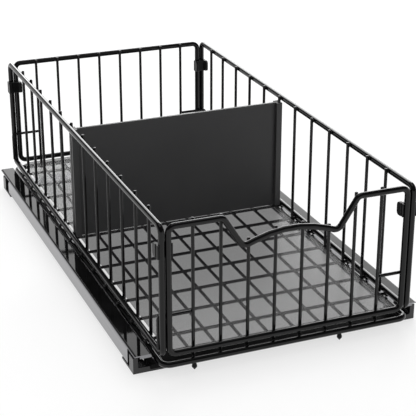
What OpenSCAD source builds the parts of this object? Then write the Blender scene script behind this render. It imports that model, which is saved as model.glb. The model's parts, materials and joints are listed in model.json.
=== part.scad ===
// Pull-out cabinet basket, in millimetres.
// A welded wire basket with a smoky liner and a lift-out divider runs forward
// on telescopic ball slides, which sit inside two folded sheet base rails.
// Origin: centre of the footprint on the cabinet floor. X points to the right,
// Y to the back and Z up, so the basket pulls out along -Y.

/* [Basket] */
// Side panel rods, left to right, centre to centre
basket_width = 244.9; // [230:0.1:270]
// Corner posts, front to back, centre to centre
basket_depth = 520; // [480:1:560]
// Bottom rail to top rail, centre to centre
wall_height = 122.5; // [105:0.5:150]
// Diameter of the frame rods
rod_d = 5.8; // [5.6:0.1:6]
// Diameter of the thin welded wires
wire_d = 3.2; // [3:0.1:3.3]
// Upright wires in each side panel
side_wires = 12; // [10:1:14]
// Depth of the hand scoop in the front top rail
scoop_depth = 30.2; // [24:0.2:34]
// Thickness of the liner sheet
liner_t = 1; // [0.8:0.1:1.2]

/* [Divider] */
// Height of the divider
divider_height = 120.6; // [100:0.2:122]
// Thickness of the divider panel
divider_t = 3; // [2.4:0.2:3.4]
// Outside width of the divider's edge channels, along the basket
channel_w = 11; // [7.4:0.2:13]

/* [Corner clips] */
// Height of a clip along its post
clip_height = 13; // [10:0.5:16]
// Reach of a clip's two ears from the posts' centres, along the basket
clip_reach = 10.2; // [9:0.2:14]

/* [Base] */
// Width of each base rail
rail_width = 16.4; // [16.2:0.1:18]
// Sheet thickness of the base rails
sheet_t = 1.2; // [1:0.1:1.3]
// Width of the crossbars, along the basket
crossbar_w = 20; // [16:0.5:24]
// Travel of the basket on its slides
slide_travel = 400; // [320:10:400]

/* [Hidden] */

$fn = 32;

// Colours
rod_black = [0.07, 0.07, 0.075];
plastic_black = [0.12, 0.12, 0.125];
dark_chrome = [0.45, 0.45, 0.47];
zinc = [0.7, 0.7, 0.72];
ball_steel = [0.85, 0.85, 0.87];
smoke = [0.35, 0.35, 0.36, 0.6];

// Rods and wires
rod_r = rod_d / 2;
wire_r = wire_d / 2;
weld = 0.05;
post_gap = 0.25;
frame_bend = 6.5;
nub_rise = 0.4;
nub_chamfer = 0.5;
ring_half = 0.3;
ring_rise = 0.02;

// Panel planes
side_x = basket_width / 2;
post_step = rod_d + post_gap;
end_post_x = side_x - post_step;
post_y = basket_depth / 2;
bottom_z = 25.5;
top_z = bottom_z + wall_height;
side_wire_x = side_x - rod_r - wire_r + weld;
end_wire_y = post_y - rod_r - wire_r + weld;

// Upright wires
side_pitch = basket_depth / (side_wires + 1);
side_ys = [for (i = [1:side_wires]) i * side_pitch - post_y];
corner_shift = 3.6;
upright_ys = [for (y = side_ys) abs(y) > post_y - 1.5 * side_pitch ? y - sign(y) * corner_shift : y];
end_wires = 8;
end_margin = 24.35;
end_pitch = 2 * (end_post_x - end_margin) / (end_wires - 1);
end_xs = [for (i = [0:end_wires - 1]) (i - (end_wires - 1) / 2) * end_pitch];

// Scoop in the front top rail
shoulder_x = 2.5 * end_pitch;
dip_x = 1.768 * end_pitch;
dip_z = top_z - scoop_depth;
arch_angle = 20;
arch_z = dip_z + dip_x * tan(arch_angle);
arch_bend = 2.243 * dip_x;
arch_peak_z = arch_z - arch_bend * (1 / cos(arch_angle) - 1);
arch_half = arch_bend * sin(arch_angle);
shoulder_bend = 6;
shoulder_drop = 1;
dip_bend = 7;

// Floor
cross_z = bottom_z - rod_r - wire_r + weld;
long_z = cross_z - wire_d + weld;
loop_z = 15;
loop_y = post_y + 1;
loop_bend = 8;
cross_bend = 2.2;
cross_end_z = loop_z + rod_r - 0.2;
long_bend = 3;
long_end_y = loop_y - rod_r - wire_r + weld;
long_end_z = loop_z - 2;
side_foot_z = cross_z + wire_r - weld;
end_foot_z = long_z + wire_r - weld;

// Liner
liner_z = cross_z + wire_r;
liner_x = side_wire_x - wire_r - 1.6;
liner_y = end_wire_y - wire_r - 0.35;
liner_notch = [7, 4];

// Corner hooks
hook_z = bottom_z + 35.9;
hook_x = side_x + 2.65;
hook_end_z = bottom_z + rod_r + 0.9;
hook_start_x = end_xs[end_wires - 1] + wire_r - weld;
hook_bend = 3;

// Pegs under the front floor rod
peg_xs = [-93.1, 52];
peg_r = 2.4;
peg_neck_r = 1.65;
peg_tip_r = 0.4;
peg_low_z = 5.7;
peg_wide_z = [8.4, 9.6];
peg_neck_z = 12;
peg_top_z = 14;

// Divider
divider_z = liner_z + liner_t + 0.35;
divider_y = side_ys[floor(side_wires / 2)];
channel_in_x = side_wire_x - wire_r - 3.5;
channel_out_x = side_x - rod_r - 0.25;
channel_web = 3.05;
channel_slot = wire_d + 0.8;
tongue_depth = 1.3;
tongue_slack = 0.2;

// Corner clips
front_clip_z = top_z - 28.5;
rear_clip_z = top_z - 34.5;
clip_wall = 1.5;
clip_r = rod_r + 0.1;
clip_out_r = clip_r + clip_wall;
clip_back = 2.6;
clip_lip = 2;
clip_valley = 1.5;
ear_t = 2.8;
ear_out = clip_out_r + 0.2;
ear_corner = 3.6;
clip_cut = 30;

// Base rails
foot_t = 1.8;
rail_top = 19.8;
rail_in_x = side_x + 5.05;
rail_out_x = rail_in_x + rail_width;
rail_bend = 2.4;
lip_bend = 1.7;
lip_low_z = 16.6;
lip_width = 10.5;
flange_in_x = rail_in_x + 1;
wall_front_y = -post_y + 35;
wall_rear_y = post_y - 45;
ledge_front_y = -post_y + 15.7;
ledge_rear_y = post_y - 8.5;
wall_corner_r = 6;

// End caps
cap_out_y = post_y - 19.5;
cap_depth = 10.9;
cap_plate_depth = 31.9;
cap_arm = 4.6;
cap_top = 15.9;
cap_low = 5.3;
cap_in_x = rail_in_x + 0.5;
cap_fillet = 2;
cap_round = 1;
stub_length = 16;
stub_slack = 0.2;

// Crossbars
bar_out_y = post_y - 18;
bar_top = 7;
bar_low = 2.8;
bar_end_x = cap_in_x - 0.2;
bar_hole_r = 2.3;
bar_hole_x = 3 * end_pitch;
bar_screw_x = cap_in_x - stub_length / 2;

// Slides
slide_t = 0.7;
slide_bend = rail_bend - sheet_t;
slide_z = (foot_t + rail_top) / 2;
slide_front_y = -post_y + 38;
slide_rear_y = post_y - 48;
slide_length = slide_rear_y - slide_front_y;
slide_mid_y = (slide_rear_y + slide_front_y) / 2;
wall_in_x = rail_out_x - sheet_t;
outer_half = 7.2;
outer_flange_x = wall_in_x - 8.9;
outer_lip = 1;
ball_gap = 0.15;
outer_ball_r = 0.65;
outer_ball_z = outer_half - slide_t - ball_gap - outer_ball_r;
outer_ball_x = outer_flange_x + 2.4;
middle_half = outer_ball_z - outer_ball_r - ball_gap;
middle_out_x = rail_out_x - cap_arm - 1;
middle_flange_x = middle_out_x - 5.3;
inner_ball_r = 0.55;
inner_ball_z = middle_half - slide_t - ball_gap - inner_ball_r;
inner_ball_x = middle_flange_x + 2;
inner_half = inner_ball_z - inner_ball_r - ball_gap;
inner_web_x = rail_in_x + 4;
inner_out_x = middle_out_x - 2.1;

// Ball cages
cage_t = 0.3;
cage_play = 34;
cage_length = slide_length - slide_travel / 2 - cage_play;
balls_per_row = 6;
ball_pitch = cage_length / balls_per_row;
ball_ys = [for (i = [0:balls_per_row - 1]) slide_mid_y + (i + 0.5) * ball_pitch - cage_length / 2];
outer_cage_web_x = wall_in_x - 2.7;
inner_cage_web_x = middle_out_x - slide_t - 0.85;

// Brackets between the floor loop and the inner slide members
bracket_t = 1.2;
bracket_length = 30;
bracket_spacing = 150;
bracket_weld = 0.02;
bracket_top = loop_z - rod_r + bracket_weld;
bracket_low = bracket_top - 4.6;
bracket_in_x = side_x - 4;
bracket_ys = [for (i = [-1:1]) slide_mid_y + i * bracket_spacing];
screw_z = bracket_top - 2.6;
screw_r = 0.8;
screw_head_r = 1.3;

// Rivets and screws of the base
rivet_r = 1.2;
rivet_head_r = 2;
rivet_head_t = 0.8;
rivet_ys = [for (i = [-1:1]) slide_mid_y + i * bracket_spacing];
cap_rivet_x = flange_in_x + 2.7;
cap_rivet_r = 1;
cap_rivet_head_r = 1.6;
cap_rivet_low = 0.4;
bar_screw_r = 1.5;
bar_screw_head_r = 2.8;
bar_screw_head_t = 1.2;
bar_screw_low = 1.5;

// ---------- shared shapes ----------

// Unit vector from one plan point to another.
function heading(a, b) = (b - a) / norm(b - a);

// Signed turn at a corner between two headings, in degrees.
function turn(d0, d1) = atan2(d0.x * d1.y - d0.y * d1.x, d0 * d1);

// Length taken from each leg by a bend.
function setback(bend, d0, d1) = bend * tan(abs(turn(d0, d1)) / 2);

// Round bar in the XY plane between two points.
module flat_bar(a, b, r) {
    d = b - a;
    translate([a.x, a.y, 0])
        rotate([0, 0, atan2(d.y, d.x)])
            rotate([0, 90, 0])
                cylinder(h = norm(d), r = r);
}

// Quarter, or other part, of a round bend at the corner p of a path.
module flat_bend(p, d0, d1, bend, r) {
    t = turn(d0, d1);
    left = t > 0 ? 1 : -1;
    start = p - d0 * setback(bend, d0, d1);
    centre = start + left * bend * [-d0.y, d0.x];
    first = t > 0 ? atan2(d0.y, d0.x) - 90 : atan2(d1.y, d1.x) + 90;
    translate([centre.x, centre.y, 0])
        rotate([0, 0, first])
            rotate_extrude(angle = abs(t))
                translate([bend, 0])
                    circle(r = r);
}

// Closed loop of rod in the XY plane, with its own bend at each corner. Where
// ringed, a short ring a hair thicker than the rod joins each straight to a bend.
module closed_rod(pts, bends, r, ringed = false) {
    n = len(pts);
    cut = ringed ? ring_half / 3 : 0;
    for (i = [0:n - 1]) {
        p = pts[i];
        q = pts[(i + 1) % n];
        d0 = heading(pts[(i + n - 1) % n], p);
        d1 = heading(p, q);
        d2 = heading(q, pts[(i + 2) % n]);
        a = p + d1 * setback(bends[i], d0, d1);
        b = q - d1 * setback(bends[(i + 1) % n], d1, d2);
        flat_bend(p, d0, d1, bends[i], r);
        flat_bar(a + d1 * cut, b - d1 * cut, r);
        if (ringed) {
            flat_bar(a - d1 * ring_half, a + d1 * ring_half, r + ring_rise);
            flat_bar(b - d1 * ring_half, b + d1 * ring_half, r + ring_rise);
        }
    }
}

// Open run of rod in the XY plane, with the same bend at each inner corner.
module open_rod(pts, bend, r) {
    n = len(pts);
    for (i = [0:n - 2]) {
        p = pts[i];
        q = pts[i + 1];
        d1 = heading(p, q);
        s0 = i == 0 ? 0 : setback(bend, heading(pts[i - 1], p), d1);
        s1 = i == n - 2 ? 0 : setback(bend, d1, heading(q, pts[i + 2]));
        flat_bar(p + d1 * s0, q - d1 * s1, r);
        if (i < n - 2)
            flat_bend(q, d1, heading(q, pts[i + 2]), bend, r);
    }
}

// Turns a shape drawn in the XY plane so that its y runs up and it faces -Y.
module facing_front(y) {
    translate([0, y, 0])
        rotate([90, 0, 0])
            children();
}

// Turns a shape drawn in the XY plane so that its x runs back and its y up.
module facing_side(x) {
    translate([x, 0, 0])
        rotate([90, 0, 90])
            children();
}

// Repeats a right-hand shape on the left.
module both_sides() {
    children();
    mirror([1, 0, 0])
        children();
}

// Repeats a rear shape at the front.
module both_ends() {
    children();
    mirror([0, 1, 0])
        children();
}

// Thin upright wire with a chamfered top.
module upright(x, y, low, high) {
    translate([x, y, low])
        rotate_extrude()
            polygon([
                [0, 0],
                [wire_r, 0],
                [wire_r, high - low - nub_chamfer],
                [wire_r - nub_chamfer, high - low],
                [0, high - low]
            ]);
}

// Screw or rivet along +Z: a shank below z = 0 and a low chamfered head above it.
module pan_fastener(shank_r, shank, head_r, head_t) {
    rotate_extrude()
        polygon([
            [0, -shank],
            [shank_r, -shank],
            [shank_r, 0],
            [head_r, 0],
            [head_r, head_t / 2],
            [head_r - head_t / 2, head_t],
            [0, head_t]
        ]);
}

// ---------- basket ----------

// Height of the front top rail's centre above each upright.
function scoop_z(x) =
    abs(x) > shoulder_x + 1 ? top_z
    : abs(x) > dip_x ? top_z - shoulder_drop
    : abs(x) > arch_half ? arch_z - abs(x) * tan(arch_angle)
    : arch_peak_z - arch_bend + sqrt(arch_bend * arch_bend - x * x);

module plain_frame(half, z0, z1) {
    closed_rod(
        [[-half, z0], [half, z0], [half, z1], [-half, z1]],
        [frame_bend, frame_bend, frame_bend, frame_bend],
        rod_r
    );
}

module left_frame() {
    color(rod_black)
        facing_side(-side_x)
            plain_frame(post_y, bottom_z, top_z);
}

module right_frame() {
    color(rod_black)
        facing_side(side_x)
            plain_frame(post_y, bottom_z, top_z);
}

module rear_frame() {
    color(rod_black)
        facing_front(post_y)
            plain_frame(end_post_x, bottom_z, top_z);
}

module front_frame() {
    color(rod_black)
        facing_front(-post_y)
            closed_rod(
                [
                    [-end_post_x, bottom_z],
                    [end_post_x, bottom_z],
                    [end_post_x, top_z],
                    [shoulder_x, top_z],
                    [dip_x, dip_z],
                    [0, arch_z],
                    [-dip_x, dip_z],
                    [-shoulder_x, top_z],
                    [-end_post_x, top_z]
                ],
                [
                    frame_bend, frame_bend, frame_bend, shoulder_bend,
                    dip_bend, arch_bend, dip_bend,
                    shoulder_bend, frame_bend
                ],
                rod_r,
                true
            );
}

module side_uprights(x) {
    for (y = upright_ys)
        upright(x, y, side_foot_z, top_z + rod_r + nub_rise);
}

module left_wires() {
    color(rod_black)
        side_uprights(-side_wire_x);
}

module right_wires() {
    color(rod_black)
        side_uprights(side_wire_x);
}

module front_wires() {
    color(rod_black)
        for (x = end_xs)
            upright(x, -end_wire_y, end_foot_z, scoop_z(x) + rod_r + nub_rise);
}

module rear_wires() {
    color(rod_black)
        for (x = end_xs)
            upright(x, end_wire_y, end_foot_z, top_z + rod_r + nub_rise);
}

// One hook: level from the outermost upright, past both posts, then down.
module hook(y) {
    facing_front(y)
        open_rod(
            [[hook_start_x, hook_z], [hook_x, hook_z], [hook_x, hook_end_z]],
            hook_bend,
            wire_r
        );
}

module front_hooks() {
    color(rod_black)
        both_sides()
            hook(-end_wire_y);
}

module rear_hooks() {
    color(rod_black)
        both_sides()
            hook(end_wire_y);
}

module floor_loop() {
    color(rod_black)
        translate([0, 0, loop_z])
            closed_rod(
                [[-side_x, -loop_y], [side_x, -loop_y], [side_x, loop_y], [-side_x, loop_y]],
                [loop_bend, loop_bend, loop_bend, loop_bend],
                rod_r
            );
}

module cross_wires() {
    end_x = side_x + cross_bend;
    color(rod_black)
        for (y = side_ys)
            facing_front(y)
                open_rod(
                    [[-end_x, cross_end_z], [-end_x, cross_z], [end_x, cross_z], [end_x, cross_end_z]],
                    cross_bend,
                    wire_r
                );
}

module long_wires() {
    color(rod_black)
        for (x = end_xs)
            facing_side(x)
                open_rod(
                    [
                        [-long_end_y, long_end_z],
                        [-long_end_y, long_z],
                        [long_end_y, long_z],
                        [long_end_y, long_end_z]
                    ],
                    long_bend,
                    wire_r
                );
}

module liner() {
    notch = liner_notch;
    color(smoke)
        translate([0, 0, liner_z])
            linear_extrude(liner_t)
                polygon([
                    [-liner_x + notch.x, -liner_y],
                    [liner_x - notch.x, -liner_y],
                    [liner_x - notch.x, -liner_y + notch.y],
                    [liner_x, -liner_y + notch.y],
                    [liner_x, liner_y - notch.y],
                    [liner_x - notch.x, liner_y - notch.y],
                    [liner_x - notch.x, liner_y],
                    [-liner_x + notch.x, liner_y],
                    [-liner_x + notch.x, liner_y - notch.y],
                    [-liner_x, liner_y - notch.y],
                    [-liner_x, -liner_y + notch.y],
                    [-liner_x + notch.x, -liner_y + notch.y]
                ]);
}

// Pointed pegs with a narrow neck and a saddle cut to the floor rod.
module front_pegs() {
    color(plastic_black)
        difference() {
            for (x = peg_xs)
                translate([x, -loop_y, 0])
                    rotate_extrude()
                        polygon([
                            [0, peg_low_z],
                            [peg_tip_r, peg_low_z],
                            [peg_r, peg_wide_z[0]],
                            [peg_r, peg_wide_z[1]],
                            [peg_neck_r, peg_neck_z],
                            [peg_neck_r, peg_top_z],
                            [0, peg_top_z]
                        ]);
            translate([-side_x, -loop_y, loop_z])
                rotate([0, 90, 0])
                    cylinder(h = basket_width, r = rod_r);
        }
}

// ---------- divider ----------

module divider_panel() {
    half = channel_in_x + tongue_depth - tongue_slack;
    color(plastic_black)
        translate([-half, divider_y - divider_t / 2, divider_z])
            cube([2 * half, divider_t, divider_height]);
}

// Right edge channel: open outwards round an upright, slotted for the panel.
module edge_channel() {
    legs_x = channel_in_x + channel_web;
    slot_w = divider_t + tongue_slack;
    color(plastic_black)
        translate([0, divider_y, divider_z])
            linear_extrude(divider_height)
                difference() {
                    translate([channel_in_x, -channel_w / 2])
                        square([channel_out_x - channel_in_x, channel_w]);
                    translate([legs_x, -channel_slot / 2])
                        square([channel_out_x, channel_slot]);
                    translate([channel_in_x - 1, -slot_w / 2])
                        square([tongue_depth + 1, slot_w]);
                }
}

module divider_right_edge() {
    edge_channel();
}

module divider_left_edge() {
    mirror([1, 0, 0])
        edge_channel();
}

// ---------- corner clips ----------

// Plan of the rear right clip about its side post: a jaw round the outer half
// of that post, a jaw round the inner half of the end post, and an ear on each.
module clip_plan() {
    back_y = clip_r + clip_back;
    difference() {
        union() {
            circle(r = clip_out_r);
            translate([-post_step, 0])
                circle(r = clip_out_r);
            translate([-post_step - ear_out, -back_y])
                square([post_step + 2 * ear_out, clip_back]);
            translate([ear_out - ear_t, -clip_reach])
                square([ear_t, clip_reach - clip_r]);
            translate([-post_step - ear_out, -clip_reach])
                square([ear_t, clip_reach - clip_r]);
        }
        circle(r = clip_r);
        translate([-post_step, 0])
            circle(r = clip_r);
        translate([-post_step, -clip_valley])
            square([post_step, clip_cut]);
        translate([-post_step - clip_cut, 0])
            square([clip_cut + 1, clip_cut]);
        translate([-1, clip_lip])
            square([clip_cut, clip_cut]);
    }
}

// Side view of a clip: its ears end in rounded corners.
module clip_profile() {
    translate([ear_corner - clip_reach, 0])
        square([clip_reach - ear_corner + clip_out_r, clip_height]);
    translate([-clip_reach, ear_corner])
        square([ear_corner, clip_height - 2 * ear_corner]);
    for (z = [ear_corner, clip_height - ear_corner])
        translate([ear_corner - clip_reach, z])
            circle(r = ear_corner);
}

module corner_clip(low_z) {
    color(plastic_black)
        translate([side_x, post_y, low_z])
            intersection() {
                linear_extrude(clip_height)
                    clip_plan();
                facing_side(-clip_cut / 2)
                    linear_extrude(clip_cut)
                        clip_profile();
            }
}

module rear_right_clip() {
    corner_clip(rear_clip_z);
}

module rear_left_clip() {
    mirror([1, 0, 0])
        corner_clip(rear_clip_z);
}

module front_right_clip() {
    mirror([0, 1, 0])
        corner_clip(front_clip_z);
}

module front_left_clip() {
    mirror([1, 0, 0])
        mirror([0, 1, 0])
            corner_clip(front_clip_z);
}

// ---------- base rails ----------

// Quarter of a bent sheet about a centre, in the quarter given by the signs.
module sheet_bend(centre, out_r, quarter) {
    translate(centre)
        intersection() {
            difference() {
                circle(r = out_r);
                circle(r = out_r - sheet_t);
            }
            translate([quarter.x > 0 ? 0 : -out_r, quarter.y > 0 ? 0 : -out_r])
                square(out_r);
        }
}

// Section of the ledge: flat top, turned-down inner lip, rounded outer edge.
module ledge_section() {
    bend_x = rail_out_x - rail_bend;
    sheet_bend([rail_in_x + lip_bend, rail_top - lip_bend], lip_bend, [-1, 1]);
    translate([rail_in_x, lip_low_z])
        square([sheet_t, rail_top - lip_bend - lip_low_z]);
    translate([rail_in_x + lip_bend, rail_top - sheet_t])
        square([rail_width - lip_bend - rail_bend, sheet_t]);
    intersection() {
        sheet_bend([bend_x, rail_top - rail_bend], rail_bend, [1, 1]);
        translate([bend_x, rail_top - sheet_t])
            square([rail_bend, sheet_t]);
    }
}

// Section of the wall: bend from the ledge, upright wall, bottom flange.
module wall_section() {
    bend_x = rail_out_x - rail_bend;
    sheet_bend([bend_x, rail_top - rail_bend], rail_bend, [1, 1]);
    sheet_bend([bend_x, foot_t + rail_bend], rail_bend, [1, -1]);
    translate([wall_in_x, foot_t + rail_bend])
        square([sheet_t, rail_top - foot_t - 2 * rail_bend]);
    translate([flange_in_x, foot_t])
        square([bend_x - flange_in_x, sheet_t]);
}

// Section extruded along Y between two planes.
module along_y(from_y, to_y) {
    translate([0, to_y, 0])
        rotate([90, 0, 0])
            linear_extrude(to_y - from_y)
                children();
}

// Block that leaves a rounded top corner at the wall's rear end.
module wall_corner_cut() {
    corner_z = rail_top - sheet_t - wall_corner_r;
    translate([rail_out_x - rail_bend, wall_rear_y - wall_corner_r, corner_z])
        difference() {
            cube([2 * rail_bend, 2 * wall_corner_r, wall_corner_r]);
            translate([-1, 0, 0])
                rotate([0, 90, 0])
                    cylinder(h = 2 * rail_bend + 2, r = wall_corner_r);
        }
}

// Lip turned down at the front end of the ledge.
module front_lip() {
    translate([rail_in_x + sheet_t / 2, ledge_front_y, lip_low_z])
        cube([lip_width, sheet_t, rail_top - sheet_t / 2 - lip_low_z]);
}

module base_rail() {
    color(dark_chrome)
        difference() {
            union() {
                along_y(ledge_front_y, ledge_rear_y)
                    ledge_section();
                front_lip();
                difference() {
                    along_y(wall_front_y, wall_rear_y)
                        wall_section();
                    wall_corner_cut();
                }
            }
            for (y = rivet_ys)
                translate([wall_in_x - 1, y, slide_z])
                    rotate([0, 90, 0])
                        cylinder(h = 1.8, r = rivet_r);
            for (y = [cap_rivet_y(-1), cap_rivet_y(1)])
                translate([cap_rivet_x, y, 0])
                    cylinder(h = foot_t + sheet_t + 1, r = cap_rivet_r);
        }
}

// Middle of the strip where a cap's plate lies under the bottom flange.
function cap_rivet_y(side) =
    side < 0 ? (wall_front_y - cap_out_y + cap_plate_depth) / 2
             : (wall_rear_y + cap_out_y - cap_plate_depth) / 2;

module right_rail() {
    base_rail();
}

module left_rail() {
    mirror([1, 0, 0])
        base_rail();
}

// End cap seen from the front: outer arm and low arm with a filleted corner.
module cap_section() {
    arm_x = rail_out_x - cap_arm;
    difference() {
        union() {
            translate([cap_in_x, 0])
                square([rail_out_x - cap_in_x, cap_low]);
            translate([arm_x, 0])
                square([cap_arm - cap_round, cap_top]);
            translate([arm_x, 0])
                square([cap_arm, cap_top - cap_round]);
            translate([rail_out_x - cap_round, cap_top - cap_round])
                circle(r = cap_round);
            translate([arm_x - cap_fillet, cap_low])
                square(cap_fillet);
        }
        translate([arm_x - cap_fillet, cap_low + cap_fillet])
            circle(r = cap_fillet);
    }
}

// Rear right cap; the front ones differ only in where the rivet goes.
module rear_cap(side) {
    stub_out_y = bar_out_y - sheet_t - stub_slack;
    color(plastic_black)
        difference() {
            union() {
                along_y(cap_out_y - cap_depth, cap_out_y)
                    cap_section();
                translate([cap_in_x, cap_out_y - cap_plate_depth, 0])
                    cube([rail_out_x - cap_in_x, cap_plate_depth - cap_depth, foot_t]);
                translate([cap_in_x - stub_length, stub_out_y - stub_width(), 0])
                    cube([stub_length, stub_width(), bar_top - sheet_t]);
            }
            translate([cap_rivet_x, side * cap_rivet_y(side), cap_rivet_low])
                cylinder(h = foot_t, r = cap_rivet_r);
            translate([bar_screw_x, bar_mid_y(), bar_screw_low])
                cylinder(h = bar_top, r = bar_screw_r);
        }
}

function stub_width() = crossbar_w - 2 * sheet_t - 2 * stub_slack;

function bar_mid_y() = bar_out_y - crossbar_w / 2;

module rear_right_cap() {
    rear_cap(1);
}

module rear_left_cap() {
    mirror([1, 0, 0])
        rear_cap(1);
}

module front_right_cap() {
    mirror([0, 1, 0])
        rear_cap(-1);
}

module front_left_cap() {
    mirror([1, 0, 0])
        mirror([0, 1, 0])
            rear_cap(-1);
}

// Rear crossbar: a channel open downwards over the stubs of two caps.
module crossbar() {
    color(rod_black)
        difference() {
            translate([-bar_end_x, bar_out_y - crossbar_w, bar_low])
                cube([2 * bar_end_x, crossbar_w, bar_top - bar_low]);
            translate([-bar_end_x - 1, bar_out_y - crossbar_w + sheet_t, bar_low - 1])
                cube([2 * bar_end_x + 2, crossbar_w - 2 * sheet_t, bar_top - bar_low - sheet_t + 1]);
            for (x = [-bar_hole_x, bar_hole_x])
                translate([x, bar_mid_y(), bar_low])
                    cylinder(h = bar_top, r = bar_hole_r);
            for (x = [-bar_screw_x, bar_screw_x])
                translate([x, bar_mid_y(), bar_low])
                    cylinder(h = bar_top, r = bar_screw_r);
        }
}

module rear_crossbar() {
    crossbar();
}

module front_crossbar() {
    mirror([0, 1, 0])
        crossbar();
}

module cap_rivets() {
    color(zinc)
        both_sides()
            for (y = [cap_rivet_y(-1), cap_rivet_y(1)])
                translate([cap_rivet_x, y, foot_t + sheet_t])
                    pan_fastener(
                        cap_rivet_r,
                        foot_t + sheet_t - cap_rivet_low,
                        cap_rivet_head_r,
                        rivet_head_t
                    );
}

module crossbar_screws() {
    color(zinc)
        both_sides()
            both_ends()
                translate([bar_screw_x, bar_mid_y(), bar_top])
                    pan_fastener(
                        bar_screw_r,
                        bar_top - bar_screw_low,
                        bar_screw_head_r,
                        bar_screw_head_t
                    );
}

// ---------- slides ----------

// Channel section about the slide's centre line, open towards the basket and
// rounded at the web so that it nests in the rail's bends.
module channel_section(web_x, flange_x, half) {
    bend_x = web_x - slide_bend;
    translate([0, slide_z])
        difference() {
            union() {
                translate([flange_x, -half])
                    square([bend_x - flange_x, 2 * half]);
                translate([flange_x, slide_bend - half])
                    square([web_x - flange_x, 2 * (half - slide_bend)]);
                for (s = [-1, 1])
                    translate([bend_x, s * (half - slide_bend)])
                        circle(r = slide_bend);
            }
            translate([flange_x - 1, slide_t - half])
                square([web_x - slide_t - flange_x + 1, 2 * (half - slide_t)]);
        }
}

module outer_member() {
    lip_low = outer_half - slide_t - outer_lip;
    color(zinc)
        difference() {
            along_y(slide_front_y, slide_rear_y) {
                channel_section(wall_in_x, outer_flange_x, outer_half);
                translate([outer_flange_x, slide_z + lip_low])
                    square([slide_t, outer_lip]);
                translate([outer_flange_x, slide_z - lip_low - outer_lip])
                    square([slide_t, outer_lip]);
            }
            for (y = rivet_ys)
                translate([wall_in_x - 2, y, slide_z])
                    rotate([0, 90, 0])
                        cylinder(h = 3, r = rivet_r);
        }
}

module right_slide_outer() {
    outer_member();
}

module left_slide_outer() {
    mirror([1, 0, 0])
        outer_member();
}

module slide_rivets() {
    color(zinc)
        both_sides()
            for (y = rivet_ys)
                translate([wall_in_x - slide_t, y, slide_z])
                    rotate([0, -90, 0])
                        pan_fastener(rivet_r, slide_t + 0.8, rivet_head_r, rivet_head_t);
}

module middle_member() {
    color(zinc)
        along_y(slide_front_y, slide_rear_y)
            channel_section(middle_out_x, middle_flange_x, middle_half);
}

module right_slide_middle() {
    middle_member();
}

module left_slide_middle() {
    mirror([1, 0, 0])
        middle_member();
}

// Inner member: a channel open towards the wall, with its web at the bracket.
module inner_member() {
    color(zinc)
        difference() {
            along_y(slide_front_y, slide_rear_y)
                translate([0, slide_z]) {
                    translate([inner_web_x, -inner_half])
                        square([slide_t, 2 * inner_half]);
                    translate([inner_web_x, inner_half - slide_t])
                        square([inner_out_x - inner_web_x, slide_t]);
                    translate([inner_web_x, -inner_half])
                        square([inner_out_x - inner_web_x, slide_t]);
                }
            for (y = bracket_ys)
                translate([inner_web_x - 1, y, screw_z])
                    rotate([0, 90, 0])
                        cylinder(h = 2 * slide_t + 1, r = screw_r);
        }
}

module right_slide_inner() {
    inner_member();
}

module left_slide_inner() {
    mirror([1, 0, 0])
        inner_member();
}

// Folded strip with two rows of round pockets, one above and one below.
module ball_cage(web_x, start_x, arm_z, ball_x, ball_r) {
    color(ball_steel)
        difference() {
            along_y(slide_mid_y - cage_length / 2, slide_mid_y + cage_length / 2)
                translate([0, slide_z]) {
                    translate([web_x, -arm_z - cage_t / 2])
                        square([cage_t, 2 * arm_z + cage_t]);
                    for (s = [-1, 1])
                        translate([start_x, s * arm_z - cage_t / 2])
                            square([web_x - start_x, cage_t]);
                }
            for (y = ball_ys)
                translate([ball_x, y, slide_z - arm_z - 1])
                    cylinder(h = 2 * arm_z + 2, r = ball_r + 0.02);
        }
}

module cage_balls(arm_z, ball_x, ball_r) {
    color(ball_steel)
        both_sides()
            for (y = ball_ys, s = [-1, 1])
                translate([ball_x, y, slide_z + s * arm_z])
                    sphere(r = ball_r);
}

module outer_cage() {
    ball_cage(
        outer_cage_web_x,
        outer_flange_x + slide_t + 0.4,
        outer_ball_z,
        outer_ball_x,
        outer_ball_r
    );
}

module inner_cage() {
    ball_cage(
        inner_cage_web_x,
        middle_flange_x + 0.6,
        inner_ball_z,
        inner_ball_x,
        inner_ball_r
    );
}

module right_outer_cage() {
    outer_cage();
}

module left_outer_cage() {
    mirror([1, 0, 0])
        outer_cage();
}

module right_inner_cage() {
    inner_cage();
}

module left_inner_cage() {
    mirror([1, 0, 0])
        inner_cage();
}

module outer_balls() {
    cage_balls(outer_ball_z, outer_ball_x, outer_ball_r);
}

module inner_balls() {
    cage_balls(inner_ball_z, inner_ball_x, inner_ball_r);
}

// Angle brackets: a level leg under the floor rod, a leg down the inner member.
module side_brackets() {
    color(zinc)
        difference() {
            for (y = bracket_ys)
                along_y(y - bracket_length / 2, y + bracket_length / 2) {
                    translate([bracket_in_x, bracket_top - bracket_t])
                        square([inner_web_x - bracket_in_x, bracket_t]);
                    translate([inner_web_x - bracket_t, bracket_low])
                        square([bracket_t, bracket_top - bracket_low]);
                }
            for (y = bracket_ys)
                translate([inner_web_x - 2 * bracket_t, y, screw_z])
                    rotate([0, 90, 0])
                        cylinder(h = 3 * bracket_t, r = screw_r);
        }
}

module right_brackets() {
    side_brackets();
}

module left_brackets() {
    mirror([1, 0, 0])
        side_brackets();
}

module bracket_screws() {
    color(ball_steel)
        both_sides()
            for (y = bracket_ys)
                translate([inner_web_x - bracket_t, y, screw_z])
                    rotate([0, -90, 0])
                        pan_fastener(screw_r, bracket_t + slide_t + 0.4, screw_head_r, 0.9);
}

// ---------- drawing ----------

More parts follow.
